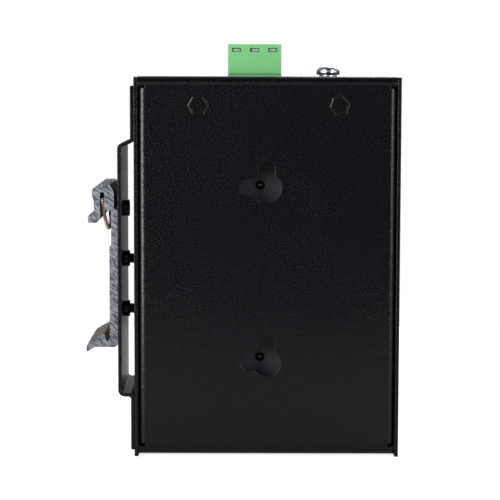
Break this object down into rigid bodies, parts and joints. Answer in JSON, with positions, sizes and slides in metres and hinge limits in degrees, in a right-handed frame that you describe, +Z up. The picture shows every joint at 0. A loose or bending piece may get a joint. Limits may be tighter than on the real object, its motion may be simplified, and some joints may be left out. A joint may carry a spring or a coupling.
{
  "type": "din rail ethernet switch",
  "caption": "Slim sheet-steel case with network sockets in front, a rail clip on a bracket behind, keyholes in the side, and a pluggable screw terminal and earth screw on top.",
  "frame": {"origin": "middle of the whole outline in X and Y, on the lower edges of the case walls", "axes": "+X towards the socket side, -X towards the rail, -Y out of the side with the keyholes, +Z up"},
  "size_m": [0.086, 0.03, 0.1132],
  "materials": {
    "coat": "black textured powder coat on sheet steel",
    "black_screw": "blackened steel",
    "zinc": "bright zinc plate",
    "clip_aluminium": "extruded and sawn",
    "spring_wire": "drawn spring wire, straw coloured",
    "laminate": "green circuit board laminate",
    "film": "black insulating film",
    "rivet": "black nylon",
    "terminal_green": "moulded green polyamide",
    "tin": "tin plate",
    "jack_plastic": "moulded black plastic",
    "jack_skin": "bright nickel-plated sheet",
    "gold": "gold-plated wire",
    "lamp_clear": "clear moulded plastic",
    "moulding": "black moulded component case",
    "can": "drawn can"
  },
  "bodies": {
    "root": {"base_shell": "coat", "board_screws": "zinc", "board_standoffs": "coat", "bracket_nuts": "zinc", "bracket_screws": "black_screw", "capacitors": "can", "case_nuts": "zinc", "case_screws": "black_screw", "circuit_board": "laminate", "clamp_cages": "zinc", "clamp_screws": "zinc", "clip_screws": "black_screw", "clip_spring": "spring_wire", "converter_chip": "moulding", "cover_shell": "coat", "crystal": "zinc", "earth_nut": "zinc", "earth_screw": "zinc", "earth_washer": "zinc", "film_rivets": "rivet", "header_pins": "tin", "input_choke": "moulding", "input_fuse": "moulding", "insulating_film": "film", "jack_contacts_1": "gold", "jack_contacts_2": "gold", "jack_contacts_3": "gold", "jack_contacts_4": "gold", "jack_contacts_5": "gold", "jack_housing_1": "jack_plastic", "jack_housing_2": "jack_plastic", "jack_housing_3": "jack_plastic", "jack_housing_4": "jack_plastic", "jack_housing_5": "jack_plastic", "jack_lamps": "lamp_clear", "jack_shield_1": "jack_skin", "jack_shield_2": "jack_skin", "jack_shield_3": "jack_skin", "jack_shield_4": "jack_skin", "jack_shield_5": "jack_skin", "lamp_rod": "lamp_clear", "line_transformers": "moulding", "memory_chip": "moulding", "plug_contacts": "tin", "power_lamp": "lamp_clear", "rail_bracket": "coat", "rail_clip": "clip_aluminium", "supply_inductor": "moulding", "surge_diode": "moulding", "switch_chip": "moulding", "terminal_header": "terminal_green", "terminal_plug": "terminal_green"}
  },
  "joints": []
}
